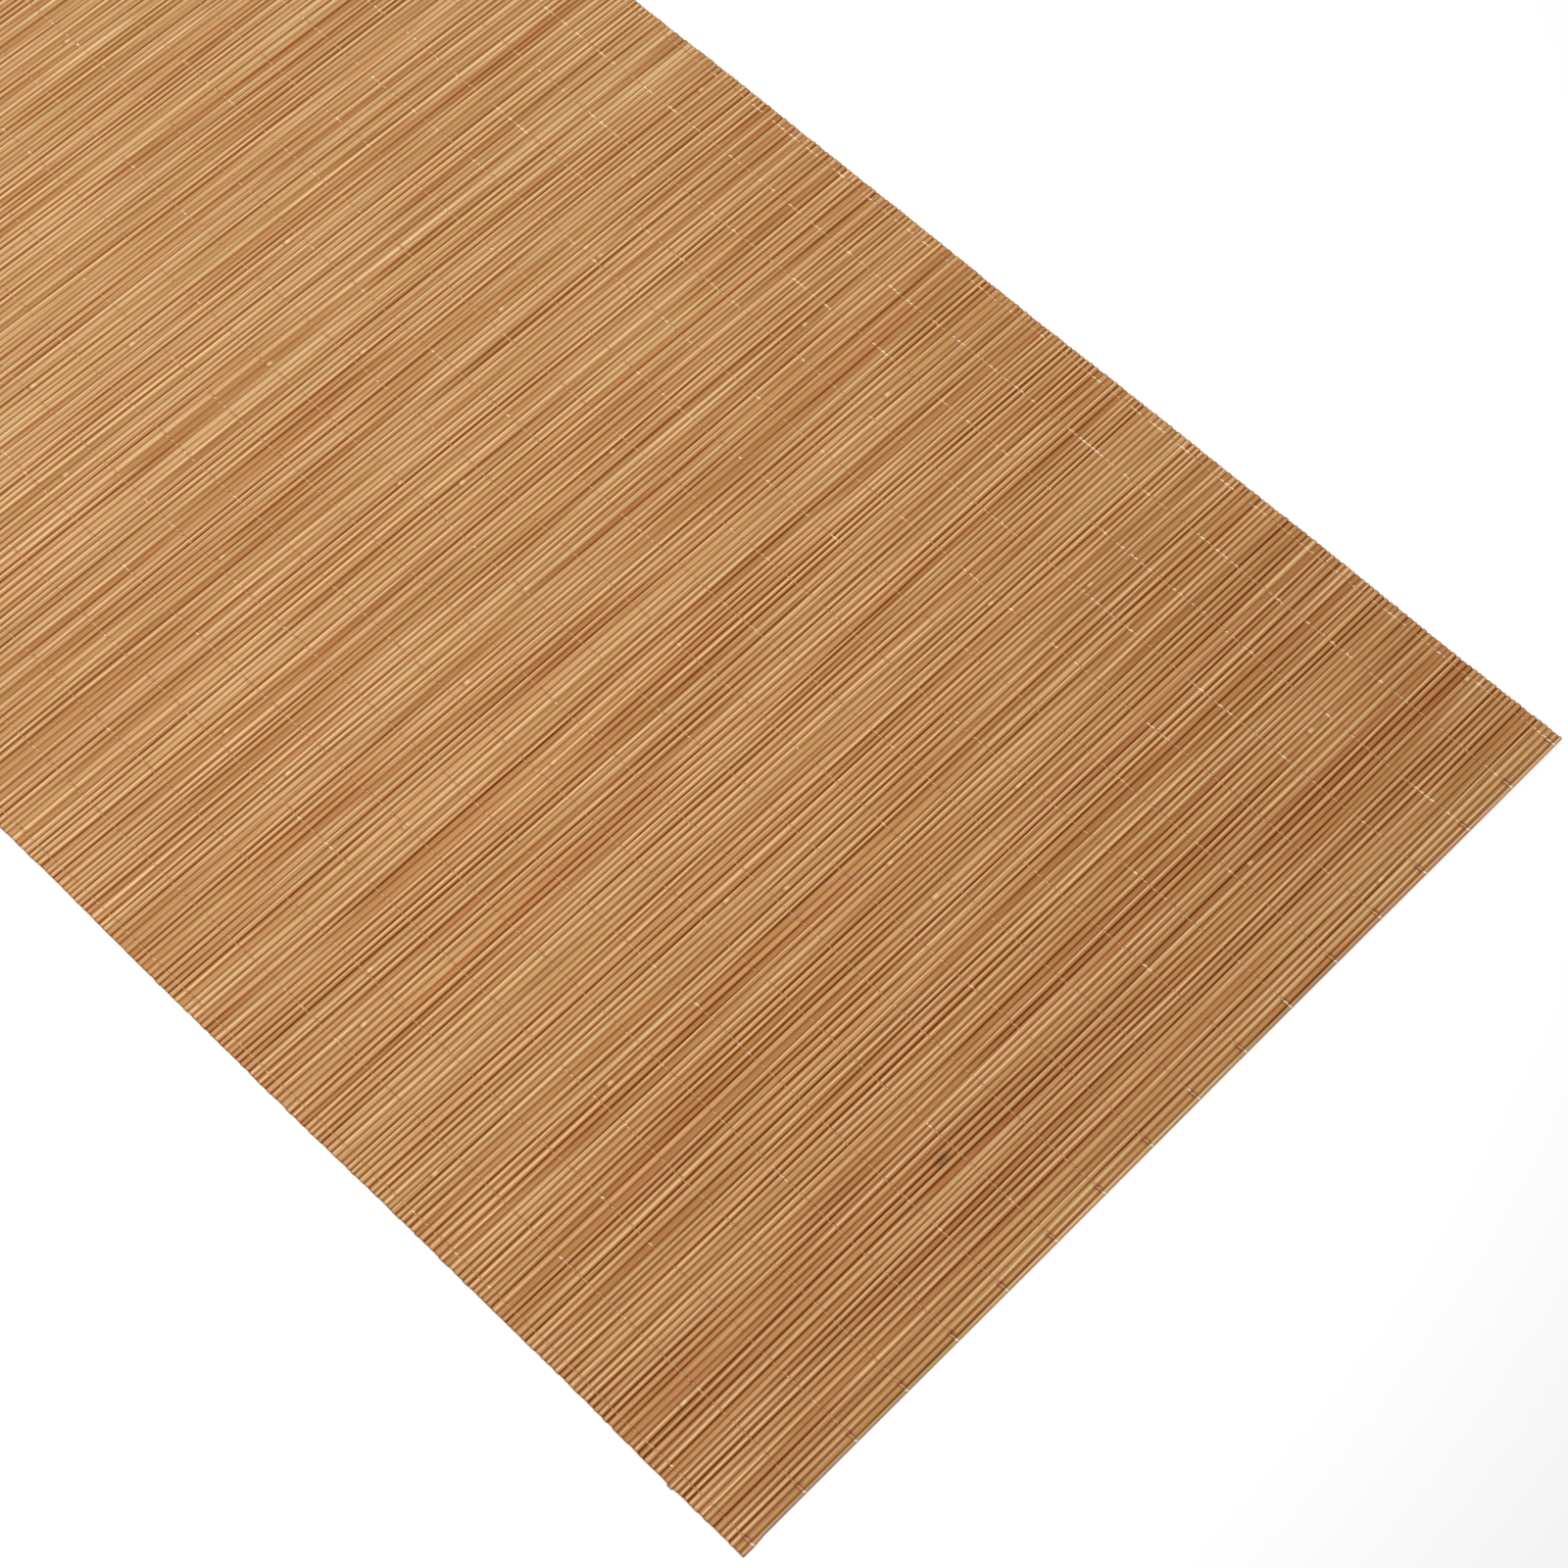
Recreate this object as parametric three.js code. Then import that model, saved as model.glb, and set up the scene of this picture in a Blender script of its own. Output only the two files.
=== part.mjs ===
import * as THREE from 'three';

// A bamboo placemat: thin round sticks laid side by side and woven together by rows of thread.
// It is one flat piece, so it is one closed solid, with a rib for each stick.
// X runs along the sticks, Y runs from the near short edge to the far one, and Z is up.
// The origin is in the middle of the underside. Lengths are in millimetres.

// The mat
const MAT_WIDTH = 300;
const MAT_LENGTH = 500;
const STICK_COUNT = 303;

// An average stick, from the surface that the mat lies on
const CROWN_HEIGHT = 1.75;
const STICK_MIDDLE_HEIGHT = 0.85;
const UPPER_GROOVE_HEIGHT = 1.15;
const LOWER_GROOVE_HEIGHT = 0.4;

// Shares of a stick's own width, or of its rise from middle to crown
const SHOULDER_REACH = 0.36;
const SHOULDER_RISE = 0.68;
const FOOT_REACH = 0.3;

// How uneven the sticks are: shares of the average for width and rise, lengths for the ends
const WIDTH_SPREAD = 0.215;
const RISE_SPREAD = 0.1;
const END_JITTER = 0.22;
const EDGE_WAVES = [
  { side: 'left', height: 0.16, length: 190, start: 0.9 },
  { side: 'left', height: 0.07, length: 61, start: 2.1 },
  { side: 'right', height: 0.13, length: 163, start: 4.0 },
  { side: 'right', height: 0.08, length: 74, start: 0.4 },
];

// One stick near the front stands out of the left edge
const PROUD_STICK = 14;
const PROUD_REACH = 0.4;

// Each kind of unevenness has a series of its own, and the factors scatter the numbers in it
const SERIES = { width: 1, rise: 2, left: 3, right: 4 };
const SECOND_DRAW = 50;
const SCATTER = { perStick: 12.9898, perSeries: 78.233, gain: 43758.5453 };

const BAMBOO_COLOUR = 0xb78559;

// A repeatable number from 0 to 1 for a stick
function chance(index, series) {
  const turn = Math.sin(index * SCATTER.perStick + series * SCATTER.perSeries) * SCATTER.gain;
  return turn - Math.floor(turn);
}

// A repeatable number from -1 to 1, most often near 0
function unevenness(index, series) {
  return chance(index, series) + chance(index, series + SECOND_DRAW) - 1;
}

// The near and far side of each stick, with widths that add up to the mat's length
function layOutSticks() {
  const shares = Array.from({ length: STICK_COUNT }, (_, index) =>
    1 + WIDTH_SPREAD * unevenness(index, SERIES.width));
  const unit = MAT_LENGTH / shares.reduce((sum, share) => sum + share, 0);
  let near = -MAT_LENGTH / 2;
  return shares.map((share, index) => {
    const far = near + share * unit;
    const rise = (CROWN_HEIGHT - STICK_MIDDLE_HEIGHT) * (1 + RISE_SPREAD * unevenness(index, SERIES.rise));
    const stick = { near, far, middle: (near + far) / 2, width: far - near, rise };
    near = far;
    return stick;
  });
}

// How far each stick stops short of the mat's full width on one side, with the longest at 0
function endShortfalls(sticks, side) {
  const waves = EDGE_WAVES.filter((wave) => wave.side === side);
  const raw = sticks.map((stick, index) => {
    const sway = waves.reduce((sum, wave) =>
      sum + wave.height * Math.sin((2 * Math.PI * stick.middle) / wave.length + wave.start), 0);
    const proud = side === 'left' && index === PROUD_STICK ? PROUD_REACH : 0;
    return sway + END_JITTER * chance(index, SERIES[side]) - proud;
  });
  const least = Math.min(...raw);
  return raw.map((value) => value - least);
}

// The points of one stick's own section, without the grooves that it shares with its neighbours
function ribPoints(stick) {
  const shoulder = SHOULDER_REACH * stick.width;
  const foot = FOOT_REACH * stick.width;
  const shoulderHeight = STICK_MIDDLE_HEIGHT + SHOULDER_RISE * stick.rise;
  return {
    upper: [
      [stick.middle - shoulder, shoulderHeight],
      [stick.middle, STICK_MIDDLE_HEIGHT + stick.rise],
      [stick.middle + shoulder, shoulderHeight],
    ],
    lower: [
      [stick.middle - foot, 0],
      [stick.middle + foot, 0],
    ],
  };
}

// A groove ends halfway between the ends of the sticks beside it
function grooveEnds(neighbours) {
  return {
    left: neighbours.reduce((sum, stick) => sum + stick.left, 0) / neighbours.length,
    right: neighbours.reduce((sum, stick) => sum + stick.right, 0) / neighbours.length,
  };
}

// A body made of lines that run from the left edge to the right one, with strips between them
class RibbedBody {
  constructor() {
    this.corners = [];
    this.triangles = [];
  }

  // A line has a corner at each end; its number is its place in the list
  line(y, z, left, right) {
    this.corners.push(new THREE.Vector3(left, y, z), new THREE.Vector3(right, y, z));
    return this.corners.length / 2 - 1;
  }

  // The strip from one line to the next, going over the top and back along the underside
  strip(from, to) {
    const [a, b, c, d] = [2 * from, 2 * from + 1, 2 * to, 2 * to + 1];
    this.triangles.push(a, b, d, a, d, c);
  }

  // Both end faces of one stick, whose lines run round its section
  ends(lines) {
    const outline = lines.map((line) =>
      new THREE.Vector2(this.corners[2 * line].y, this.corners[2 * line].z));
    for (const [a, b, c] of THREE.ShapeUtils.triangulateShape(outline, [])) {
      this.triangles.push(2 * lines[a], 2 * lines[c], 2 * lines[b]);
      this.triangles.push(2 * lines[a] + 1, 2 * lines[b] + 1, 2 * lines[c] + 1);
    }
  }

  geometry() {
    const geometry = new THREE.BufferGeometry().setFromPoints(this.corners);
    geometry.setIndex(this.triangles);
    geometry.computeVertexNormals();
    return geometry;
  }
}

// One rib for each stick, joined to the next along the line where the two sticks touch
function matGeometry() {
  const sticks = layOutSticks();
  const leftShort = endShortfalls(sticks, 'left');
  const rightShort = endShortfalls(sticks, 'right');
  sticks.forEach((stick, index) => {
    stick.left = -MAT_WIDTH / 2 + leftShort[index];
    stick.right = MAT_WIDTH / 2 - rightShort[index];
  });

  const body = new RibbedBody();
  const addGroove = (y, neighbours) => {
    const { left, right } = grooveEnds(neighbours);
    return {
      upper: body.line(y, UPPER_GROOVE_HEIGHT, left, right),
      lower: body.line(y, LOWER_GROOVE_HEIGHT, left, right),
    };
  };

  let before = addGroove(sticks[0].near, [sticks[0]]);
  body.strip(before.lower, before.upper);
  sticks.forEach((stick, index) => {
    const isLast = index === sticks.length - 1;
    const after = addGroove(stick.far, isLast ? [stick] : [stick, sticks[index + 1]]);
    const rib = ribPoints(stick);
    const upper = rib.upper.map(([y, z]) => body.line(y, z, stick.left, stick.right));
    const lower = rib.lower.map(([y, z]) => body.line(y, z, stick.left, stick.right));
    const top = [before.upper, ...upper, after.upper];
    const bottom = [after.lower, ...lower.reverse(), before.lower];
    for (const chain of [top, bottom]) {
      for (let step = 1; step < chain.length; step += 1) {
        body.strip(chain[step - 1], chain[step]);
      }
    }
    body.ends([...top, ...bottom]);
    before = after;
  });
  body.strip(before.upper, before.lower);
  return body.geometry();
}

function makeMat() {
  const bamboo = new THREE.MeshStandardMaterial({
    color: BAMBOO_COLOUR,
    roughness: 0.5,
    metalness: 0,
    flatShading: true,
  });
  const mat = new THREE.Mesh(matGeometry(), bamboo);
  mat.name = 'bamboo_mat';
  return mat;
}

const placemat = new THREE.Group();
placemat.add(makeMat());

export default placemat;
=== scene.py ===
# A bamboo placemat: round bamboo sticks side by side, woven together by rows of pale thread.
# It lies flat. X runs along the sticks, Y from the near short edge to the far one, Z is up, in metres.
import math

import bpy
import numpy as np
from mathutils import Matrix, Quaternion, Vector


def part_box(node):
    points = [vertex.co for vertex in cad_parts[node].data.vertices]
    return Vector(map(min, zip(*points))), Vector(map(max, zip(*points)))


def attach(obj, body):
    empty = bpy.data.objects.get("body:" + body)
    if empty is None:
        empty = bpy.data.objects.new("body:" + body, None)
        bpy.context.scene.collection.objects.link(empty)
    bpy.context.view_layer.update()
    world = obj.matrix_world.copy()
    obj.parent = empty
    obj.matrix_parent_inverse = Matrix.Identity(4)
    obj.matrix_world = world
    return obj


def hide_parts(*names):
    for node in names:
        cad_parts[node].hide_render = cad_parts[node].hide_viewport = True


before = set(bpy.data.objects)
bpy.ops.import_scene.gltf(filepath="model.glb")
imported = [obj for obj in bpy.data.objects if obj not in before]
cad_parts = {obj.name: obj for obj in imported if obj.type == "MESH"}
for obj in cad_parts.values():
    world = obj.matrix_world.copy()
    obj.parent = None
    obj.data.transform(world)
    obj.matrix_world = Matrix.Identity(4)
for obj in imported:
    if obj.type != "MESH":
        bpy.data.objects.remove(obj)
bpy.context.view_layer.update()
bpy.ops.object.select_all(action="DESELECT")


# Camera
# It stands over the near left corner and looks down across the mat, so the near end and both long
# edges show, and the far end runs out of the picture.
AIM = Vector((-0.001, -0.1169, 0.0018))
CAMERA_DISTANCE = 0.9039
CAMERA_DIRECTION = Vector((0.32925, 0.31356, -0.89066))
CAMERA_ROLL = math.radians(1.033)
SENSOR_WIDTH = 36
FOCAL_LENGTH = 81.32
CLIP_START = 0.01

look = CAMERA_DIRECTION.normalized()
turn = look.to_track_quat("-Z", "Y") @ Quaternion((0, 0, 1), CAMERA_ROLL)
bpy.ops.object.camera_add(location=AIM - look * CAMERA_DISTANCE, rotation=turn.to_euler())
camera = bpy.context.object
camera.data.sensor_width = SENSOR_WIDTH
camera.data.lens = FOCAL_LENGTH
camera.data.clip_start = CLIP_START
bpy.context.scene.camera = camera


# Sticks
# Round bamboo sticks a millimetre and a half thick, drawn through a die, browned by steam and cut to
# the mat's width. They lie side by side, pressed close by the thread, each a little wider, flatter,
# lower or more bent than the next.
STICK_COUNT = 303
BUNDLE_COUNT = 15
STICK_SIDES = 10
STICK_STEPS = 84
STICK_RADIUS = 0.0007
STICK_FOOT = 0.00017
CUT_EDGE_WEAR = 0.00004
SMOOTH_ANGLE = math.radians(40)

# The section of a stick: its corners crowd to the top, its lower half is full and reaches a little
# under its neighbours so that no light comes through, and its crown is flat, more so where it lies low
TOP_CROWDING = 0.35
LOWER_FULLNESS = 0.5
LOWER_OVERLAP = 1.12
CROWN_FLATNESS = 0.08
LOW_CROWN_FLATNESS = 0.15
LOW_DROP = 0.00009

# How uneven the widths and the ends of the sticks are; a wave is its height, length and start
WIDTH_SPREAD = 0.215
END_JITTER = 0.00022
EDGE_WAVES = {
    "left": [(0.00016, 0.190, 0.9), (0.00007, 0.061, 2.1)],
    "right": [(0.00013, 0.163, 4.0), (0.00008, 0.074, 0.4)],
}
PROUD_STICK = 14
PROUD_REACH = 0.0004

# How the sticks bend; a shared bend is its height, its length, the sticks that it takes to come round
# again and its start
SHARED_BENDS = [(0.00013, 0.23, 37.0, 0.6), (0.00005, 0.11, -13.0, 2.9)]
OWN_BEND = 0.00014
OWN_BEND_LENGTH = 0.20
SPLAY = 0.00028
SPLAY_SPAN = (0.0040, 0.0058)
NEAR_EDGE_WAVE = 0.00006
NEAR_EDGE_WAVE_LENGTH = 0.17
FAR_EDGE_INSET = 0.0002
FAR_EDGE_WAVE = 0.0001
FAR_EDGE_TURN = 0.021

# Which sticks lie low and which stand apart: a stick's own leaning that way, and a wander along it
OWN_LEANING = 0.9
LOW_LENGTH = 0.26
LOW_SPAN = (0.3, 0.9)
FIRST_LOW_STICKS = (1, 5)
GAP_LENGTH = 0.17
GAP_OPEN_SPAN = (-0.4, 0.9)
GAP_SPAN = (-0.00006, 0.00010)

# Where the joint of the cane comes on a stick, as shares of the mat's width; on most it is past the end
KNOT_START = 0.03
KNOT_SPREAD = 7.0

# Each kind of unevenness has a series of its own, and the factors scatter the numbers in it
SERIES = {"width": 1, "left": 3, "right": 4, "gap": 6, "bend": 7, "low": 8, "knot": 9}
SECOND_DRAW = 50
WAVE_LENGTH_DRAW = 100
WAVE_START_DRAW = 200
SCATTER = {"stick": 12.9898, "series": 78.233, "gain": 43758.5453}

# A wander is three waves: the share of each, how much shorter each is than the one before, and the
# least and the spread of a stick's own stretch of them
DRIFT_SHARES = (0.5, 0.3, 0.2)
DRIFT_SHORTENING = 0.83
DRIFT_STRETCH = (0.7, 0.6)

mat_low, mat_high = (np.array(corner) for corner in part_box("bamboo_mat"))
mat_width = mat_high[0] - mat_low[0]
mat_length = mat_high[1] - mat_low[1]
stick_pitch = mat_length / STICK_COUNT
stick_middle = STICK_FOOT + STICK_RADIUS


def chance(index, series):
    """A repeatable number from 0 to 1 for each stick."""
    turned = np.asarray(index, float) * SCATTER["stick"] + series * SCATTER["series"]
    scattered = np.sin(turned) * SCATTER["gain"]
    return scattered - np.floor(scattered)


def unevenness(index, series):
    """A repeatable number from -1 to 1 for each stick, most often near 0."""
    return chance(index, series) + chance(index, series + SECOND_DRAW) - 1


def drift(index, along, series, length):
    """A slow wander from about -1 to 1 along each stick, which each stick has for itself."""
    total = 0.0
    least, more = DRIFT_STRETCH
    for number, share in enumerate(DRIFT_SHARES):
        stretch = least + more * chance(index, series + WAVE_LENGTH_DRAW + number)
        wave = length / (1 + DRIFT_SHORTENING * number) * stretch
        start = 2 * np.pi * chance(index, series + WAVE_START_DRAW + number)
        total = total + share * np.sin(2 * np.pi * along / wave + start)
    return total


def ease(value, low, high):
    """0 up to low, 1 from high on, and a smooth step between."""
    share = np.clip((value - low) / (high - low), 0, 1)
    return share * share * (3 - 2 * share)


shares = 1 + WIDTH_SPREAD * unevenness(np.arange(STICK_COUNT), SERIES["width"])
stick_edges = np.concatenate([[0.0], np.cumsum(shares)]) / shares.sum() * mat_length + mat_low[1]


def end_shortfalls(side):
    """How far each stick stops short of the mat's full width on one side."""
    middles = (stick_edges[1:] + stick_edges[:-1]) / 2
    short = END_JITTER * chance(np.arange(STICK_COUNT), SERIES[side])
    for height, length, start in EDGE_WAVES[side]:
        short = short + height * np.sin(2 * np.pi * middles / length + start)
    if side == "left":
        short[PROUD_STICK] -= PROUD_REACH
    return short - short.min()


stick_left = mat_low[0] + end_shortfalls("left")
stick_right = mat_high[0] - end_shortfalls("right")


def near_edge_line(along):
    """The first stick's outer side, which bows outwards at its left end."""
    splay = SPLAY * (1 - ease(along - mat_low[0], *SPLAY_SPAN))
    inset = SPLAY + NEAR_EDGE_WAVE * np.sin(2 * np.pi * along / NEAR_EDGE_WAVE_LENGTH) - splay
    return stick_edges[0] + np.maximum(inset, 0)


def far_edge_line(along):
    """The last stick's outer side."""
    return stick_edges[-1] - FAR_EDGE_INSET + FAR_EDGE_WAVE * np.sin(along / FAR_EDGE_TURN)


def gap_line(number, along):
    """Where the line between two sticks runs, or the outer side of the first or the last stick."""
    number = np.asarray(number)
    sway = 0.0
    for height, length, sticks, start in SHARED_BENDS:
        sway = sway + height * np.sin(2 * np.pi * (along / length + number / sticks) + start)
    sway = sway + OWN_BEND * drift(number, along, SERIES["bend"], OWN_BEND_LENGTH)
    line = np.where(number == 0, near_edge_line(along), stick_edges[number] + sway)
    return np.where(number == STICK_COUNT, far_edge_line(along), line)


def lowness(index, along):
    """1 where a stick is thin and lies lower than its neighbours, 0 where it doesn't."""
    leaning = OWN_LEANING * unevenness(index, SERIES["low"])
    wander = drift(index, along, SERIES["low"], LOW_LENGTH) + leaning
    return ease(wander, *LOW_SPAN) * ease(np.asarray(index), *FIRST_LOW_STICKS)


def openness(number, along):
    """1 where two neighbours stand apart along the line between them, 0 where they are pressed together."""
    leaning = OWN_LEANING * unevenness(number, SERIES["gap"])
    wander = drift(number, along, SERIES["gap"], GAP_LENGTH) + leaning
    return ease(wander, *GAP_OPEN_SPAN)


def stick_shape(index, along):
    """The middle, half width and half height of a stick at a place along it."""
    near = gap_line(index, along)
    far = gap_line(np.asarray(index) + 1, along)
    half_height = STICK_RADIUS - LOW_DROP * lowness(index, along) / 2
    return (near + far) / 2, (far - near) / 2, half_height


def flank_setback(number, along):
    """How far the upper flanks beside the line between two sticks stay back from it."""
    pressed, widest = GAP_SPAN
    return (pressed + (widest - pressed) * openness(number, along)) / 2


def knot_distance(index, along):
    """How far a place is from the joint of the cane that some sticks have."""
    share = KNOT_START + KNOT_SPREAD * chance(index, SERIES["knot"])
    return along - mat_low[0] - mat_width * share


def edit_select(mesh_object, chosen, kind):
    """Selects in edit mode the faces or edges that the function picks."""
    bpy.ops.object.mode_set(mode="EDIT")
    bpy.ops.mesh.select_mode(type=kind)
    bpy.ops.mesh.select_all(action="DESELECT")
    bpy.ops.object.mode_set(mode="OBJECT")
    mesh = mesh_object.data
    items = mesh.polygons if kind == "FACE" else mesh.edges
    for item in items:
        item.select = bool(chosen(mesh, item))
    bpy.ops.object.mode_set(mode="EDIT")


def is_cap(mesh, face):
    """Whether a face is one of a stick's two cut ends."""
    return abs(face.normal.x) > 0.99


def is_long_edge(mesh, edge):
    """Whether an edge runs from one end of a stick to the other."""
    start, end = (mesh.vertices[corner].co for corner in edge.vertices)
    return abs(end.x - start.x) > mat_width / 2


bpy.ops.mesh.primitive_cylinder_add(
    vertices=STICK_SIDES,
    radius=STICK_RADIUS,
    depth=mat_width,
    location=(0, 0, stick_middle),
    rotation=(0, math.pi / 2, 0),
)
stick = bpy.context.object
stick.name = "stick"
bpy.ops.transform.rotate(value=math.pi / STICK_SIDES, orient_axis="X", center_override=(0, 0, stick_middle))
bpy.ops.object.transform_apply(location=True, rotation=True, scale=True)
edit_select(stick, is_cap, "FACE")
bpy.ops.mesh.region_to_loop()
bpy.ops.mesh.bevel(offset=CUT_EDGE_WEAR, segments=1, affect="EDGES")
edit_select(stick, is_long_edge, "EDGE")
bpy.ops.mesh.subdivide(number_cuts=STICK_STEPS - 1)
bpy.ops.object.mode_set(mode="OBJECT")
bpy.ops.object.shade_smooth_by_angle(angle=SMOOTH_ANGLE)

# The map that each stick's surface is laid out on: a band for each stick of a bundle, with the band's
# long seam under the stick, and its cut ends at the start of the band
BAND_MARGIN = 0.06
CUT_SHARE = 0.012
CUT_PLACES = {"left": 0.25, "right": 0.75}
CUT_ROUND_REACH = 0.2
CUT_LENGTH_REACH = 0.8
SIDE_SHARE = 1 - 1.5 * CUT_SHARE
sticks_per_bundle = math.ceil(STICK_COUNT / BUNDLE_COUNT)
band = 1 / sticks_per_bundle


def cut_end_place(face, across, up):
    """The shares along and round a band for a corner of a cut end."""
    side = "right" if face.center.x > 0 else "left"
    length_share = CUT_SHARE / 2 * (1 + CUT_LENGTH_REACH * up / STICK_RADIUS)
    return length_share, CUT_PLACES[side] + CUT_ROUND_REACH * across / STICK_RADIUS


def side_place(face, along, across, up):
    """The shares along and round a band for a corner on a stick's side."""
    face_turn = math.atan2(face.center.y, face.center.z - stick_middle)
    step = (math.atan2(across, up) - face_turn + math.pi) % (2 * math.pi) - math.pi
    length_share = CUT_SHARE + SIDE_SHARE * (along / mat_width + 0.5)
    return length_share, 0.5 + (face_turn + step) / (2 * math.pi)


def lay_out_stick(mesh):
    """Gives a stick its map, in the first band of a bundle."""
    layer = mesh.uv_layers.new(name="OFBake")
    for face in mesh.polygons:
        for corner in face.loop_indices:
            place = mesh.vertices[mesh.loops[corner].vertex_index].co
            across, up = place.y, place.z - stick_middle
            if is_cap(mesh, face):
                length_share, round_share = cut_end_place(face, across, up)
            else:
                length_share, round_share = side_place(face, place.x, across, up)
            inside = BAND_MARGIN + (1 - 2 * BAND_MARGIN) * round_share
            layer.data[corner].uv = (length_share, inside * band)


while stick.data.uv_layers:
    stick.data.uv_layers.remove(stick.data.uv_layers[0])
lay_out_stick(stick.data)
vertices_per_stick = len(stick.data.vertices)


def srgb(red, green, blue):
    """A colour as it is read off a screen, from 0 to 255, for a node."""
    parts = [part / 255 for part in (red, green, blue)]
    return tuple(p / 12.92 if p <= 0.04045 else ((p + 0.055) / 1.055) ** 2.4 for p in parts) + (1.0,)


def link_or_set(tree, socket, value):
    """Links a socket to another node's output, or sets it to a value."""
    if isinstance(value, bpy.types.NodeSocket):
        tree.links.new(value, socket)
    else:
        socket.default_value = value


def add_node(tree, kind, inputs=None, **settings):
    """A node with its settings, and its inputs set to numbers or linked to other nodes' outputs."""
    node = tree.nodes.new(kind)
    for name, value in settings.items():
        setattr(node, name, value)
    for name, value in (inputs or {}).items():
        link_or_set(tree, node.inputs[name], value)
    return node


def mix_colours(tree, blend, factor, first, second):
    """A Mix node for colours; the sockets of its colours are the seventh and eighth."""
    node = add_node(tree, "ShaderNodeMix", data_type="RGBA", blend_type=blend)
    for socket, value in zip((node.inputs[0], node.inputs[6], node.inputs[7]), (factor, first, second)):
        link_or_set(tree, socket, value)
    return node.outputs[2]


def calculate(tree, operation, *values, clamp=False):
    """A Math node on numbers or other nodes' outputs."""
    node = add_node(tree, "ShaderNodeMath", operation=operation, use_clamp=clamp)
    for socket, value in zip(node.inputs, values):
        link_or_set(tree, socket, value)
    return node.outputs[0]


def ramp(tree, factor, stops):
    """A Color Ramp with a list of (place, colour) stops."""
    node = add_node(tree, "ShaderNodeValToRGB", {"Fac": factor})
    elements = node.color_ramp.elements
    while len(elements) < len(stops):
        elements.new(0.5)
    for element, (place, colour) in zip(elements, stops):
        element.position = place
        element.color = colour
    return node.outputs["Color"]


def spread(tree, value, low, high, new_low, new_high):
    """A Map Range node that eases a value from one span to another."""
    node = add_node(
        tree,
        "ShaderNodeMapRange",
        {"Value": value, "From Min": low, "From Max": high, "To Min": new_low, "To Max": new_high},
        interpolation_type="SMOOTHSTEP",
    )
    return node.outputs["Result"]


def object_place(tree):
    """The place on the mat, in metres."""
    return add_node(tree, "ShaderNodeTexCoord").outputs["Object"]


def split_place(tree, place):
    """The three numbers of a place, by the names of the axes."""
    return add_node(tree, "ShaderNodeSeparateXYZ", {"Vector": place}).outputs


def read_attribute(tree, name):
    """A number that the mesh carries on each vertex."""
    return add_node(tree, "ShaderNodeAttribute", attribute_name=name).outputs["Fac"]


def distance_from(tree, value, centre):
    """How far a value is from another, either way."""
    return calculate(tree, "ABSOLUTE", calculate(tree, "SUBTRACT", value, centre))


def new_group(name, inputs, outputs):
    """A shader node group with named sockets, and its two end nodes."""
    group = bpy.data.node_groups.new(name, "ShaderNodeTree")
    for socket, kind in inputs.items():
        group.interface.new_socket(socket, in_out="INPUT", socket_type=kind)
    for socket, kind in outputs.items():
        group.interface.new_socket(socket, in_out="OUTPUT", socket_type=kind)
    return group, group.nodes.new("NodeGroupInput"), group.nodes.new("NodeGroupOutput")


def new_material(name):
    """A material, its node tree and its shader."""
    material = bpy.data.materials.new(name)
    material.use_nodes = True
    return material, material.node_tree, material.node_tree.nodes["Principled BSDF"]


# The tone of a stick: each stick has its own shade and hue, both wander along it, and a light stick
# tends to lie beside a dark one. A darker shade is a deeper colour, a stick that lies low is dull and
# reddish, and the far end of the mat is a little paler.
SHADES = [
    (0.00, srgb(147, 97, 50)),
    (0.25, srgb(161, 113, 65)),
    (0.50, srgb(175, 130, 82)),
    (0.75, srgb(189, 148, 101)),
    (1.00, srgb(203, 167, 121)),
]
SHADE_START = 0.23
OWN_SHADE = 0.29
NEXT_STICK_SHARE = -0.5
SHADE_WANDER = 0.60
HUES = [(0.3, (1.0, 0.93, 0.90, 1)), (0.7, (0.97, 1.0, 0.93, 1))]
LOW_STICK_TINT = (0.90, 0.79, 0.68, 1)
FAR_END_SPAN = (-0.20, 0.15)
FAR_END_TINT = (0.99, 1.10, 1.22, 1)

# Noise along a stick: its turns in a metre, and where in the noise the first stick's row is
NOISES = {
    "shade": (14.0, 0.4),
    "hue": (6.0, 71.3),
    "streak_side": (11.0, 33.1),
    "streak_strength": (16.0, 12.7),
}
NOISE_ROW_STEP = 3.7


def along_noise(tree, place, stick_number, kind):
    """Noise that runs along a stick and is another for each stick."""
    turns, first_row = NOISES[kind]
    along = calculate(tree, "MULTIPLY", split_place(tree, place)["X"], turns)
    own_row = calculate(tree, "MULTIPLY_ADD", stick_number, NOISE_ROW_STEP, first_row)
    own_place = add_node(tree, "ShaderNodeCombineXYZ", {"X": along, "Y": own_row})
    noise = add_node(
        tree,
        "ShaderNodeTexNoise",
        {"Vector": own_place.outputs[0], "Scale": 1.0, "Detail": 2.0},
        noise_dimensions="2D",
    )
    return noise.outputs["Fac"]


def stick_chance(tree, stick_number, step):
    """A number from 0 to 1 that belongs to a stick, or to the one that lies a step further."""
    whole_number = calculate(tree, "ROUND", calculate(tree, "ADD", stick_number, step))
    noise = add_node(tree, "ShaderNodeTexWhiteNoise", {"W": whole_number}, noise_dimensions="1D")
    return noise.outputs["Value"]


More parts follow.
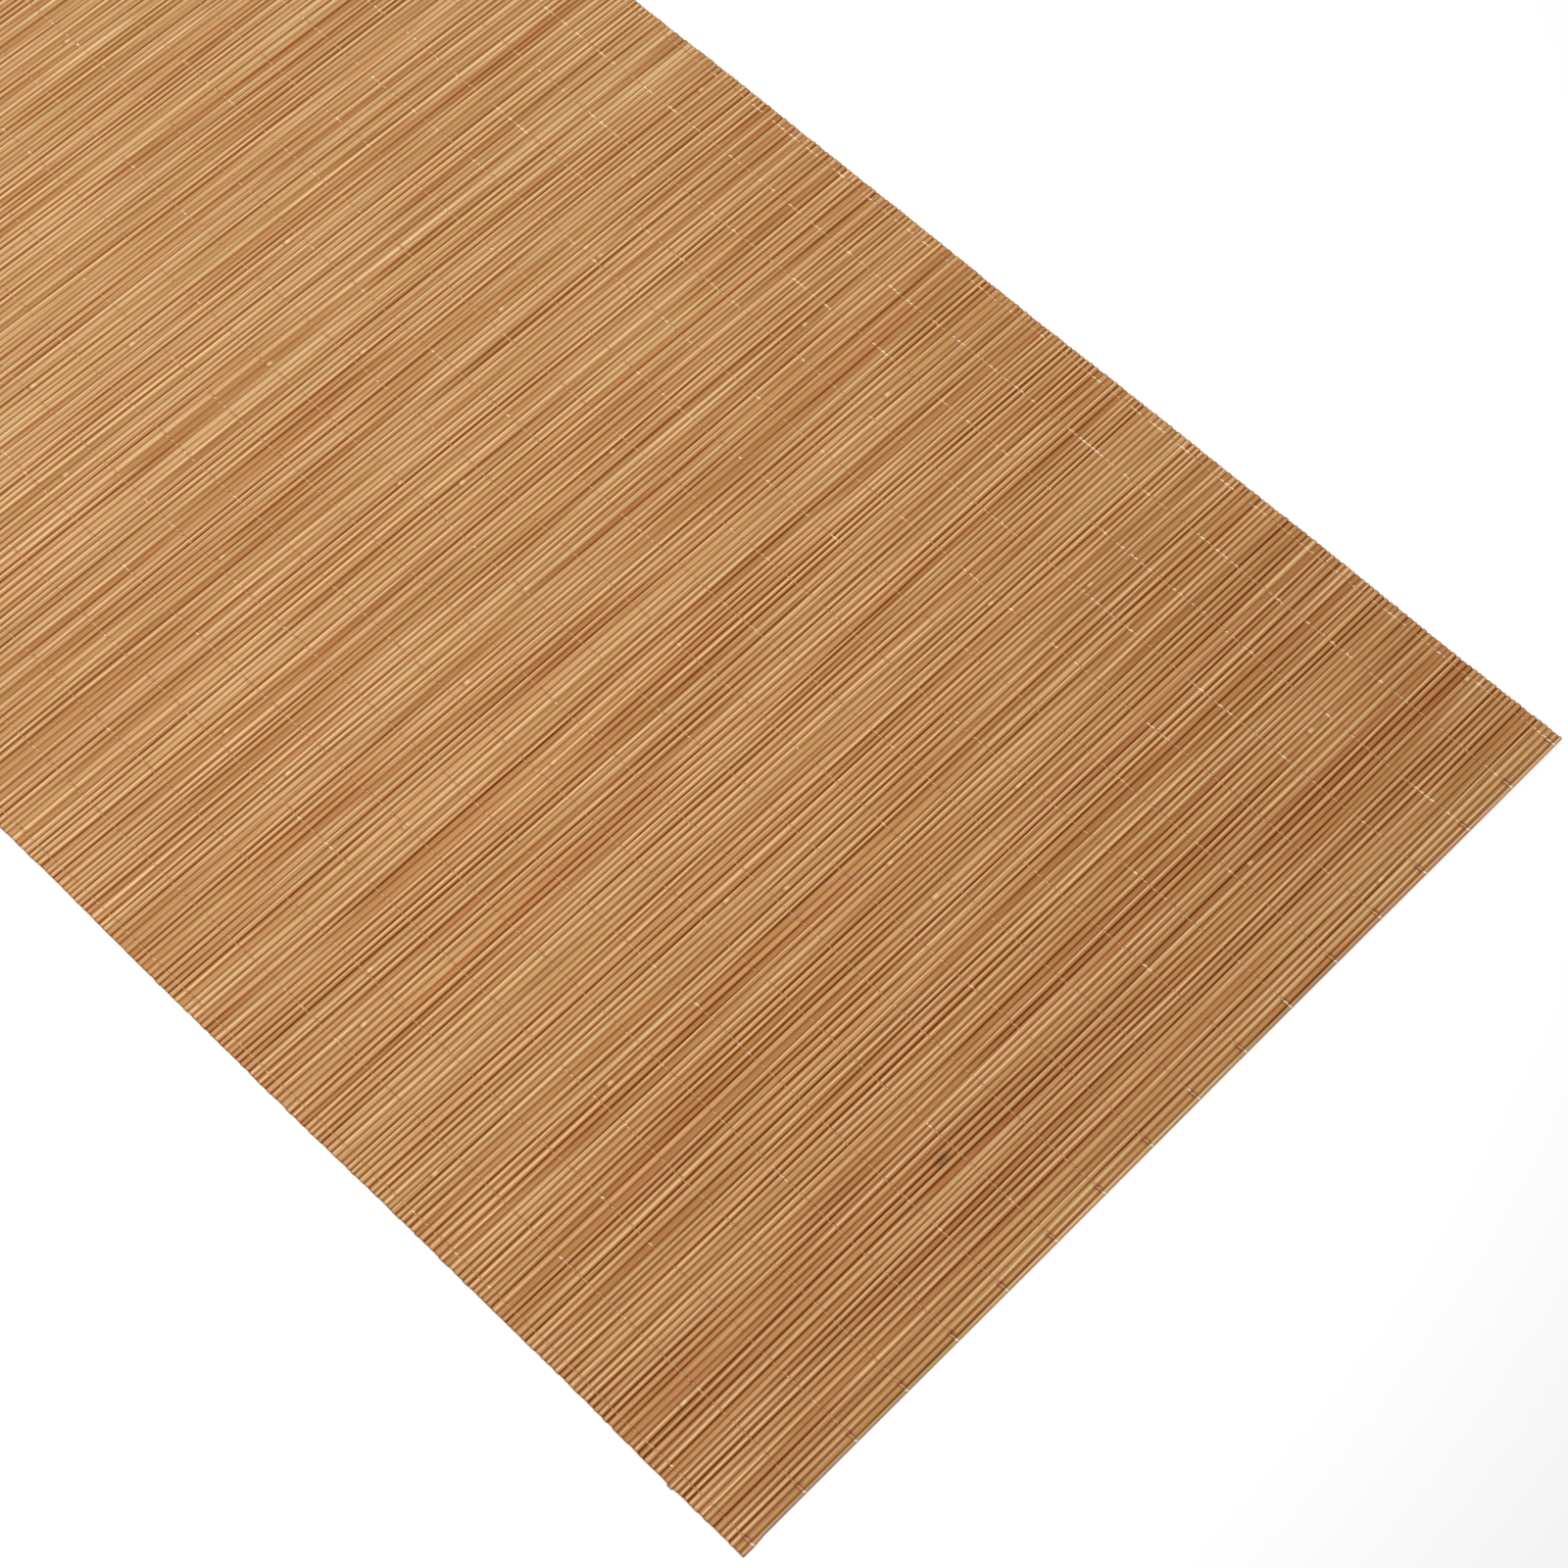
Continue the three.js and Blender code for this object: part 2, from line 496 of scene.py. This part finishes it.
def build_tone_group():
    """The node group that turns a stick's number, lowness and place into its colour."""
    group, given, result = new_group(
        "stick_tone",
        {"Stick": "NodeSocketFloat", "Low": "NodeSocketFloat", "Place": "NodeSocketVector"},
        {"Colour": "NodeSocketColor"},
    )
    stick_number, low, place = (given.outputs[name] for name in ("Stick", "Low", "Place"))
    own, following = (stick_chance(group, stick_number, step) for step in (0, 1))
    own = calculate(group, "MULTIPLY_ADD", following, NEXT_STICK_SHARE, own)
    shade = calculate(group, "MULTIPLY_ADD", own, OWN_SHADE, SHADE_START)
    shade_wander = along_noise(group, place, stick_number, "shade")
    shade = calculate(group, "MULTIPLY_ADD", shade_wander, SHADE_WANDER, shade)
    colour = ramp(group, shade, SHADES)
    colour = mix_colours(group, "MULTIPLY", low, colour, LOW_STICK_TINT)
    hue_wander = along_noise(group, place, stick_number, "hue")
    colour = mix_colours(group, "MULTIPLY", 1.0, colour, ramp(group, hue_wander, HUES))
    far_end = spread(group, split_place(group, place)["Y"], *FAR_END_SPAN, 0.0, 1.0)
    colour = mix_colours(group, "MULTIPLY", far_end, colour, FAR_END_TINT)
    group.links.new(colour, result.inputs["Colour"])
    return group


tone_group = build_tone_group()


def stick_tone(tree):
    """The tone group, fed with the stick's number, how low it lies and the place on the mat."""
    node = add_node(tree, "ShaderNodeGroup", node_tree=tone_group)
    link_or_set(tree, node.inputs["Stick"], read_attribute(tree, "stick"))
    link_or_set(tree, node.inputs["Low"], read_attribute(tree, "low"))
    link_or_set(tree, node.inputs["Place"], object_place(tree))
    return node.outputs["Colour"]


# Bamboo along its side: fine fibres, a warm gloss that is duller on a low stick, and below it the marks,
# the painted highlight and the painted shade.
# A span is where a mark begins to change and where it has changed, in the unit of what it is read from.
FIBRE_SCALE = (70, 5200, 5200)
FIBRE_NOISE = {"Scale": 1.0, "Detail": 3.0, "Roughness": 0.6}
FIBRE_SHADES = [(0.30, (0.86, 0.76, 0.66, 1)), (0.62, (1.0, 1.0, 1.0, 1))]
FIBRE_STRENGTH = 0.5
FIBRE_BUMP = {"Strength": 0.35, "Distance": 0.00005}
SKIN_DULLNESS = 0.31
LOW_DULLNESS = 0.24
FIBRE_DULLNESS = 0.12
BAMBOO_SPECULAR_TINT = (1.0, 0.88, 0.74, 1)

# The painted highlight, a pale streak on the crown: how far it wanders across the stick, how wide it is and
# how strong
STREAK_SWAY = (1.4, -0.7)
STREAK_SPAN = (0.04, 0.36)
STREAK_STRENGTH_SPAN = (0.32, 0.68)
STREAK_STRENGTH = (0.1, 0.95)
PAINTED_HIGHLIGHT = srgb(226, 191, 149)

# The painted shade in the grooves between the sticks: how wide it is, and how much wider where the sticks
# stand apart
GROOVE_WIDTH = 1.3
APART_GROOVE_WIDTH = 1.6
GROOVE_PAINTED_SHADE = (0.90, 0.63, 0.36, 1)
DEEP_GROOVE_SPAN = (0.3, 0.95)
DEEP_GROOVE_PAINTED_SHADE = (0.68, 0.44, 0.26, 1)

# The painted shade at the ends, a dark line along the cut edges, in millimetres from the cut
END_SHADE_SPAN = (0.05, 0.40)
END_SHADE_STRENGTH = 0.7
END_PAINTED_SHADE = (0.50, 0.44, 0.42, 1)

# The joints of the cane: a dark line, and beside it a painted highlight on the crown for the swelling
# there, in millimetres from the joint
KNOT_LINE_SPAN = (0.1, 0.8)
KNOT_LINE_STRENGTH = 0.45
KNOT_LINE = srgb(140, 86, 50)
KNOT_HIGHLIGHT_PLACE = 1.3
KNOT_HIGHLIGHT_SPAN = (0.1, 1.3)
KNOT_HIGHLIGHT_CROWN_SPAN = (0.7, 1.0)
KNOT_HIGHLIGHT_STRENGTH = 0.5
PAINTED_KNOT_HIGHLIGHT = srgb(240, 208, 164)

# The rows of thread, from the left edge, and the marks of glue at the near edge, from that edge
FIRST_ROW = 0.0040
ROW_PITCH = 0.01722
ROW_COUNT = 18
GLUE_HALF_WIDTH = (0.0004, 0.0011)
GLUE_START = (0.0012, 0.0018)
GLUE_END = (0.0028, 0.0044)
GLUE_STRENGTH = 0.85
GLUE = srgb(136, 74, 36)
near_edge = float(mat_low[1])

# The one stain, an oval
STAIN_PLACE = (-0.047, -0.2155, 0.0)
STAIN_REACH = (0.0030, 0.0015, 1.0)
STAIN_SPAN = (0.1, 1.2)
STAIN_STRENGTH = 0.8
STAIN_TINT = (0.44, 0.50, 0.58, 1)


def fibre_noise(tree):
    """Fine fibres that run along the sticks."""
    place = add_node(tree, "ShaderNodeMapping", {"Vector": object_place(tree), "Scale": FIBRE_SCALE})
    noise = add_node(tree, "ShaderNodeTexNoise", {"Vector": place.outputs[0], **FIBRE_NOISE})
    return noise.outputs["Fac"]


def add_painted_highlight(tree, colour):
    """A painted highlight: a pale streak that wanders over the crown, and fades where the stick lies low.
    """
    place, stick_number = object_place(tree), read_attribute(tree, "stick")
    side_wander = along_noise(tree, place, stick_number, "streak_side")
    side = calculate(tree, "MULTIPLY_ADD", side_wander, *STREAK_SWAY)
    reach = distance_from(tree, read_attribute(tree, "across"), side)
    streak = spread(tree, reach, *STREAK_SPAN, 1.0, 0.0)
    strength_wander = along_noise(tree, place, stick_number, "streak_strength")
    strength = spread(tree, strength_wander, *STREAK_STRENGTH_SPAN, *STREAK_STRENGTH)
    streak = calculate(tree, "MULTIPLY", streak, strength)
    high = calculate(tree, "SUBTRACT", 1.0, read_attribute(tree, "low"))
    streak = calculate(tree, "MULTIPLY", streak, high)
    return mix_colours(tree, "MIX", streak, colour, PAINTED_HIGHLIGHT)


def paint_groove_shade(tree, colour):
    """Painted shade down a stick's sides, a redder and darker colour, wider and deeper where the next stick
    stands apart.
    """
    crown, apart = read_attribute(tree, "crown"), read_attribute(tree, "apart")
    width = calculate(tree, "MULTIPLY_ADD", apart, APART_GROOVE_WIDTH, GROOVE_WIDTH)
    fall = calculate(tree, "SUBTRACT", 1.0, crown)
    groove = calculate(tree, "MULTIPLY", fall, width, clamp=True)
    colour = mix_colours(tree, "MULTIPLY", groove, colour, GROOVE_PAINTED_SHADE)
    deep = spread(tree, crown, *DEEP_GROOVE_SPAN, 1.0, 0.0)
    deep = calculate(tree, "MULTIPLY", deep, apart)
    return mix_colours(tree, "MULTIPLY", deep, colour, DEEP_GROOVE_PAINTED_SHADE)


def paint_end_shade(tree, colour):
    """Painted shade: the last fraction of a millimetre before a cut end is darkened, for the dark line
    along the mat's edges.
    """
    from_end = read_attribute(tree, "from_end")
    tinted = spread(tree, from_end, *END_SHADE_SPAN, END_SHADE_STRENGTH, 0.0)
    return mix_colours(tree, "MULTIPLY", tinted, colour, END_PAINTED_SHADE)


def add_knots(tree, colour):
    """The joint of the cane: a dark line across the stick, and beside it a painted highlight on the crown,
    for a swelling that the mesh doesn't have.
    """
    knot = read_attribute(tree, "knot")
    line = spread(tree, calculate(tree, "ABSOLUTE", knot), *KNOT_LINE_SPAN, KNOT_LINE_STRENGTH, 0.0)
    from_middle = distance_from(tree, knot, KNOT_HIGHLIGHT_PLACE)
    knot_highlight = spread(tree, from_middle, *KNOT_HIGHLIGHT_SPAN, KNOT_HIGHLIGHT_STRENGTH, 0.0)
    on_crown = spread(tree, read_attribute(tree, "crown"), *KNOT_HIGHLIGHT_CROWN_SPAN, 0.0, 1.0)
    knot_highlight = calculate(tree, "MULTIPLY", knot_highlight, on_crown)
    colour = mix_colours(tree, "MIX", line, colour, KNOT_LINE)
    return mix_colours(tree, "MIX", knot_highlight, colour, PAINTED_KNOT_HIGHLIGHT)


def add_glue_marks(tree, colour):
    """A brown mark of glue beside the end of each row of thread, at the near edge."""
    parts = split_place(tree, object_place(tree))
    along = calculate(tree, "SUBTRACT", parts["X"], float(mat_low[0] + FIRST_ROW))
    from_row = calculate(tree, "WRAP", along, ROW_PITCH / 2, -ROW_PITCH / 2)
    from_row = calculate(tree, "ABSOLUTE", from_row)
    glue = spread(tree, from_row, *GLUE_HALF_WIDTH, GLUE_STRENGTH, 0.0)
    begun = spread(tree, parts["Y"], *(near_edge + reach for reach in GLUE_START), 0.0, 1.0)
    not_over = spread(tree, parts["Y"], *(near_edge + reach for reach in GLUE_END), 1.0, 0.0)
    glue = calculate(tree, "MULTIPLY", glue, calculate(tree, "MULTIPLY", begun, not_over))
    return mix_colours(tree, "MIX", glue, colour, GLUE)


def add_stain(tree, colour):
    """One dark water stain, longer along the sticks than across them."""
    place = add_node(
        tree,
        "ShaderNodeMapping",
        {"Vector": object_place(tree), "Location": STAIN_PLACE, "Scale": STAIN_REACH},
        vector_type="TEXTURE",
    )
    reach = add_node(tree, "ShaderNodeVectorMath", {"Vector": place.outputs[0]}, operation="LENGTH")
    stain = spread(tree, reach.outputs["Value"], *STAIN_SPAN, STAIN_STRENGTH, 0.0)
    return mix_colours(tree, "MULTIPLY", stain, colour, STAIN_TINT)


def build_skin():
    """Bamboo along its side: glossy and fibrous, with a painted highlight on the crown and painted shade in
    the grooves, and dull where it lies low.
    """
    material, tree, shader = new_material("bamboo_skin")
    fibres = fibre_noise(tree)
    fibre_shade = ramp(tree, fibres, FIBRE_SHADES)
    colour = mix_colours(tree, "MULTIPLY", FIBRE_STRENGTH, stick_tone(tree), fibre_shade)
    for add_effect in (add_painted_highlight, paint_groove_shade, paint_end_shade, add_knots, add_glue_marks, add_stain):
        colour = add_effect(tree, colour)
    tree.links.new(colour, shader.inputs["Base Color"])
    low = read_attribute(tree, "low")
    dullness = calculate(tree, "MULTIPLY_ADD", low, LOW_DULLNESS, SKIN_DULLNESS)
    dullness = calculate(tree, "MULTIPLY_ADD", fibres, FIBRE_DULLNESS, dullness)
    tree.links.new(dullness, shader.inputs["Roughness"])
    shader.inputs["Specular Tint"].default_value = BAMBOO_SPECULAR_TINT
    bump = add_node(tree, "ShaderNodeBump", {"Height": fibres, **FIBRE_BUMP})
    tree.links.new(bump.outputs["Normal"], shader.inputs["Normal"])
    return material


# Bamboo across its cut end
PORE_SCALE = 5500.0
PORE_SHADES = [(0.15, (0.45, 0.36, 0.30, 1)), (0.45, (0.92, 0.9, 0.88, 1))]
PORE_STRENGTH = 0.8
CUT_END_ROUGHNESS = 0.8


def build_cut_end():
    """Bamboo across its cut end: the same tone, duller, with the dark ends of the fibres."""
    material, tree, shader = new_material("bamboo_cut_end")
    pores = add_node(tree, "ShaderNodeTexVoronoi", {"Vector": object_place(tree), "Scale": PORE_SCALE})
    pore_shade = ramp(tree, pores.outputs["Distance"], PORE_SHADES)
    colour = mix_colours(tree, "MULTIPLY", PORE_STRENGTH, stick_tone(tree), pore_shade)
    tree.links.new(colour, shader.inputs["Base Color"])
    shader.inputs["Roughness"].default_value = CUT_END_ROUGHNESS
    return material


stick.data.materials.append(build_skin())
stick.data.materials.append(build_cut_end())
for face in stick.data.polygons:
    face.material_index = int(is_cap(stick.data, face))

# What the materials read off the mesh: lengths in millimetres, and from a joint not more than this
MILLIMETRES_IN_METRE = 1000
KNOT_FAR = 9


def set_attribute(mesh, name, values):
    """A number on each vertex, for the materials."""
    attribute = mesh.attributes.new(name, "FLOAT", "POINT")
    attribute.data.foreach_set("value", np.asarray(values, np.float32))


def vertex_places(mesh):
    """The places of a mesh's vertices, as rows of three."""
    places = np.empty(len(mesh.vertices) * 3)
    mesh.vertices.foreach_get("co", places)
    return places.reshape(-1, 3)


def section_of(places, in_bundle):
    """How far each vertex is across and up from its stick's middle, with the corners crowded to the top."""
    across = (places[:, 1] - in_bundle * stick_pitch) / STICK_RADIUS
    up = (places[:, 2] - stick_middle) / STICK_RADIUS
    reach = np.hypot(across, up)
    angle = np.arctan2(across, up)
    angle = angle - TOP_CROWDING * np.sin(angle)
    return reach * np.sin(angle), reach * np.cos(angle)


def fit_bundle(bundle, first):
    """Gives each stick of a bundle its own place, size and bends."""
    mesh = bundle.data
    places = vertex_places(mesh)
    in_bundle = np.arange(len(places)) // vertices_per_stick
    index = first + in_bundle
    across, up = section_of(places, in_bundle)
    share = places[:, 0] / mat_width + 0.5
    along = stick_left[index] + share * (stick_right[index] - stick_left[index])
    middle, half_width, half_height = stick_shape(index, along)
    low = lowness(index, along)

    lower_side = LOWER_OVERLAP * np.sign(across) * np.abs(across) ** LOWER_FULLNESS
    side = np.where(up < 0, lower_side, across)
    setback = np.where(up > 0, flank_setback(index + (across > 0), along), 0)
    flatness = CROWN_FLATNESS + LOW_CROWN_FLATNESS * low
    top = up * (1 - flatness * np.maximum(up, 0) ** 2)
    y = middle + side * (half_width - setback)
    z = STICK_FOOT + half_height + top * half_height
    mesh.vertices.foreach_set("co", np.stack([along, y, z], axis=1).ravel())
    mesh.update()

    far_share = np.clip(0.5 + 0.5 * across, 0, 1)
    apart = (1 - far_share) * openness(index, along) + far_share * openness(index + 1, along)
    from_end = np.minimum(along - stick_left[index], stick_right[index] - along)
    set_attribute(mesh, "stick", index)
    set_attribute(mesh, "across", across)
    set_attribute(mesh, "crown", up)
    set_attribute(mesh, "low", low)
    set_attribute(mesh, "apart", apart)
    set_attribute(mesh, "from_end", from_end * MILLIMETRES_IN_METRE)
    from_knot = knot_distance(index, along) * MILLIMETRES_IN_METRE
    set_attribute(mesh, "knot", np.clip(from_knot, -KNOT_FAR, KNOT_FAR))


def bundle_sizes():
    """The first stick of each bundle and how many it holds: as even as they divide."""
    edges = np.linspace(0, STICK_COUNT, BUNDLE_COUNT + 1).round().astype(int)
    return list(zip(edges[:-1], np.diff(edges)))


for number, (first, size) in enumerate(bundle_sizes(), start=1):
    bpy.ops.object.select_all(action="DESELECT")
    stick.select_set(True)
    bpy.context.view_layer.objects.active = stick
    bpy.ops.object.duplicate()
    bundle = bpy.context.object
    bundle.name = f"sticks_{number:02d}"
    bundle.data.name = bundle.name
    array = bundle.modifiers.new("side_by_side", "ARRAY")
    array.count = int(size)
    array.use_relative_offset = False
    array.use_constant_offset = True
    array.constant_offset_displace = (0, stick_pitch, 0)
    array.offset_v = band
    bpy.ops.object.modifier_apply(modifier=array.name)
    fit_bundle(bundle, int(first))
    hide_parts("bamboo_mat")
    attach(bundle, "root")
bpy.data.objects.remove(stick)


# Thread
# Two strands of cotton run across the sticks in each row. They twist round each other between the
# sticks, so that one lies over a stick and the other under it, and turn round the end sticks. They were
# browned with the bamboo, and are pale where they have been rubbed.
THREAD_RADIUS_OVER = 0.00009
THREAD_RADIUS_UNDER = 0.00012
THREAD_RADIUS_BETWEEN = 0.00006
THREAD_FLATTENING = 3.4
THREAD_STANDING = 0.35
STRAND_APART = 0.00014
STRAND_LEAN = 0.7
WRAP_ANGLE = math.radians(50)
WRAP_TURNS = [-WRAP_ANGLE, 0.0, WRAP_ANGLE]
RINGS_PER_STICK = len(WRAP_TURNS) + 1
RING_CORNERS = 4

# A row's waves: height, length and series of chance
ROW_WAVES = [(0.00016, 0.13, 31), (0.00010, 0.041, 32)]

# The cotton: browned, paled towards the crowns' painted highlight, rubbed pale in spots, darker down
# between the sticks as painted shade, and twisted
THREAD_HIGHLIGHT_SHARE = 0.45
BROWNED_TINT = (1.04, 0.88, 0.72, 1)
RUBBED_NOISE = {"Scale": 300.0, "Detail": 3.0, "Roughness": 0.7}
RUBBED_SPAN = (0.59, 0.70)
RUBBED_RIGHT_SPAN = (0.0, 0.14)
RUBBED_RIGHT = 0.08
RUBBED_NEAR_SPAN = (0.0006, 0.0014)
RUBBED_NEAR = 0.5
RUBBED = srgb(246, 222, 186)
THREAD_SHADE_HEIGHTS = (0.00115, 0.00160)
THREAD_PAINTED_SHADE = (0.52, 0.27, 0.12, 1)
COTTON_ROUGHNESS = 0.7
TWIST_SLANT = (0, 0, 0.7)
TWIST_SCALE = 2600.0
TWIST_BUMP = {"Strength": 0.5, "Distance": 0.00004}


def rubbed_thread(tree):
    """1 where the thread is rubbed pale: in spots, more of them to the right, and at the near edge."""
    place = object_place(tree)
    parts = split_place(tree, place)
    spots = add_node(tree, "ShaderNodeTexNoise", {"Vector": place, **RUBBED_NOISE})
    to_right = spread(tree, parts["X"], *RUBBED_RIGHT_SPAN, 0.0, RUBBED_RIGHT)
    near_span = (near_edge + reach for reach in RUBBED_NEAR_SPAN)
    at_near_edge = spread(tree, parts["Y"], *near_span, RUBBED_NEAR, 0.0)
    rubbed = calculate(tree, "ADD", to_right, at_near_edge)
    rubbed = calculate(tree, "ADD", rubbed, spots.outputs["Fac"])
    return spread(tree, rubbed, *RUBBED_SPAN, 0.0, 1.0)


def build_cotton():
    """Twisted cotton thread, with the tone of the stick under it and painted shade down between the sticks.
    """
    material, tree, shader = new_material("cotton_thread")
    place = object_place(tree)
    # The thread takes some of the crowns' painted highlight colour, so that it matches the crowns that it
    # lies on.
    tinted = mix_colours(tree, "MIX", THREAD_HIGHLIGHT_SHARE, stick_tone(tree), PAINTED_HIGHLIGHT)
    tinted = mix_colours(tree, "MULTIPLY", 1.0, tinted, BROWNED_TINT)
    colour = mix_colours(tree, "MIX", rubbed_thread(tree), tinted, RUBBED)
    # Painted shade: the thread is darker where it runs low, down between the sticks.
    thread_shade = spread(tree, split_place(tree, place)["Z"], *THREAD_SHADE_HEIGHTS, 1.0, 0.0)
    colour = mix_colours(tree, "MULTIPLY", thread_shade, colour, THREAD_PAINTED_SHADE)
    tree.links.new(colour, shader.inputs["Base Color"])
    shader.inputs["Roughness"].default_value = COTTON_ROUGHNESS
    shader.inputs["Specular Tint"].default_value = BAMBOO_SPECULAR_TINT
    slanted = add_node(tree, "ShaderNodeMapping", {"Vector": place, "Rotation": TWIST_SLANT}).outputs[0]
    twist = add_node(
        tree, "ShaderNodeTexWave", {"Vector": slanted, "Scale": TWIST_SCALE}, bands_direction="Y"
    )
    bump = add_node(tree, "ShaderNodeBump", {"Height": twist.outputs["Fac"], **TWIST_BUMP})
    tree.links.new(bump.outputs["Normal"], shader.inputs["Normal"])
    return material


def row_line(row, across):
    """Where a row of thread runs, a little wavy."""
    line = mat_low[0] + FIRST_ROW + row * ROW_PITCH
    for height, length, series in ROW_WAVES:
        line = line + height * np.sin(2 * np.pi * (across / length + chance(row, series)))
    return line


def wrap_points(index, row_middle, side, thickness):
    """The points of a strand round one stick, over it with a side of 1 and under it with -1."""
    middle, half_width, half_height = (float(size) for size in stick_shape(index, row_middle))
    standing = THREAD_STANDING * thickness
    points = []
    for angle in WRAP_TURNS:
        lean = -side * STRAND_APART * math.sin(angle) / math.sin(WRAP_ANGLE)
        rise = (half_height + standing) * math.cos(angle)
        if side > 0 and angle == 0:
            rise = STICK_RADIUS + standing
        points.append(
            (
                row_middle + STRAND_LEAN * lean,
                middle + (half_width + standing) * math.sin(angle),
                STICK_FOOT + half_height + side * rise,
            )
        )
    return points


def strand_points(row, begin, end, opposite):
    """The points of one strand and its thickness at each, over one stick and under the next."""
    points, sizes = [], []
    for index in range(begin, end + 1):
        side = 1 if (index % 2 == 0) != opposite else -1
        row_middle = float(row_line(row, stick_edges[index]))
        points.append((row_middle + side * STRAND_APART, float(gap_line(index, row_middle)), stick_middle))
        sizes.append(THREAD_RADIUS_BETWEEN)
        if index < end:
            thickness = THREAD_RADIUS_OVER if side > 0 else THREAD_RADIUS_UNDER
            points += wrap_points(index, row_middle, side, thickness)
            sizes += [thickness] * len(WRAP_TURNS)
    return points, sizes


def flatten_thread(mesh):
    """Spreads each ring of a strand sideways, as the pull of the weaving flattens it."""
    rings = vertex_places(mesh).reshape(-1, RING_CORNERS, 3)
    middles = rings.mean(axis=1, keepdims=True)
    rings[:, :, 0] = middles[:, :, 0] + THREAD_FLATTENING * (rings[:, :, 0] - middles[:, :, 0])
    mesh.vertices.foreach_set("co", rings.ravel())
    mesh.update()


def number_thread(mesh, begin, end):
    """Gives each ring of a strand the number of the stick that it lies on, for the tone."""
    rings_per_strand = RINGS_PER_STICK * (end - begin) + 1
    ring = np.arange(len(mesh.vertices)) // RING_CORNERS % rings_per_strand
    set_attribute(mesh, "stick", begin + ring // RINGS_PER_STICK)


def add_strand(curve, points, sizes):
    """One strand of thread as a spline that is as thick at each point as its size says."""
    spline = curve.splines.new("POLY")
    spline.points.add(len(points) - 1)
    spline.points.foreach_set("co", np.column_stack([points, np.ones(len(points))]).ravel())
    spline.points.foreach_set("radius", sizes)
    spline.use_smooth = True


def thread_rows(name, begin, end):
    """All the rows of thread over a run of sticks, as one mesh."""
    bpy.ops.object.select_all(action="DESELECT")
    curve = bpy.data.curves.new(name, "CURVE")
    curve.dimensions = "3D"
    curve.bevel_mode = "ROUND"
    curve.bevel_depth = 1.0
    curve.bevel_resolution = 0
    curve.use_fill_caps = True
    for row in range(ROW_COUNT):
        for opposite in (False, True):
            add_strand(curve, *strand_points(row, begin, end, opposite))
    piece = bpy.data.objects.new(name, curve)
    bpy.context.collection.objects.link(piece)
    piece.select_set(True)
    bpy.context.view_layer.objects.active = piece
    bpy.ops.object.convert(target="MESH")
    piece = bpy.context.object
    flatten_thread(piece.data)
    number_thread(piece.data, begin, end)
    piece.data.materials.clear()
    piece.data.materials.append(cotton)
    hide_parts("bamboo_mat")
    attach(piece, "root")


cotton = build_cotton()
half_way = STICK_COUNT // 2
thread_rows("thread_rows_near", 0, half_way)
thread_rows("thread_rows_far", half_way, STICK_COUNT)


# Table, light and finish
# A plain pale surface under the mat, a soft lamp overhead that is turned towards the far end, and pale
# light all round.
FLOOR_SIZE = 6.0
FLOOR_DROP = 0.0001
PAPER_COLOUR = (0.99, 0.99, 0.99, 1)
PAPER_ROUGHNESS = 0.9
LAMP_PLACE = (-0.36, -0.45, 1.25)
LAMP_AIM = Vector((0.03, 0.42, 0))
LAMP_SIZE = (0.8, 0.6)
LAMP_POWER = 6.1
LAMP_SPREAD = math.radians(84)
ROOM_LIGHT = 0.38

bpy.ops.mesh.primitive_plane_add(size=FLOOR_SIZE, location=(0, 0, -FLOOR_DROP))
floor = bpy.context.object
floor.name = "table_top"
bpy.ops.object.transform_apply(location=True, rotation=True, scale=True)
paper, _, paper_shader = new_material("pale_table")
paper_shader.inputs["Base Color"].default_value = PAPER_COLOUR
paper_shader.inputs["Roughness"].default_value = PAPER_ROUGHNESS
floor.data.materials.append(paper)

bpy.ops.object.light_add(type="AREA", location=LAMP_PLACE)
lamp = bpy.context.object
lamp.data.shape = "RECTANGLE"
lamp.data.size, lamp.data.size_y = LAMP_SIZE
lamp.data.energy = LAMP_POWER
lamp.data.spread = LAMP_SPREAD
lamp.rotation_euler = (LAMP_AIM - lamp.location).to_track_quat("-Z", "Y").to_euler()

world = bpy.data.worlds.new("pale_room")
bpy.context.scene.world = world
world.use_nodes = True
world.node_tree.nodes["Background"].inputs["Color"].default_value = (1, 1, 1, 1)
world.node_tree.nodes["Background"].inputs["Strength"].default_value = ROOM_LIGHT
bpy.context.scene.view_settings.view_transform = "Standard"
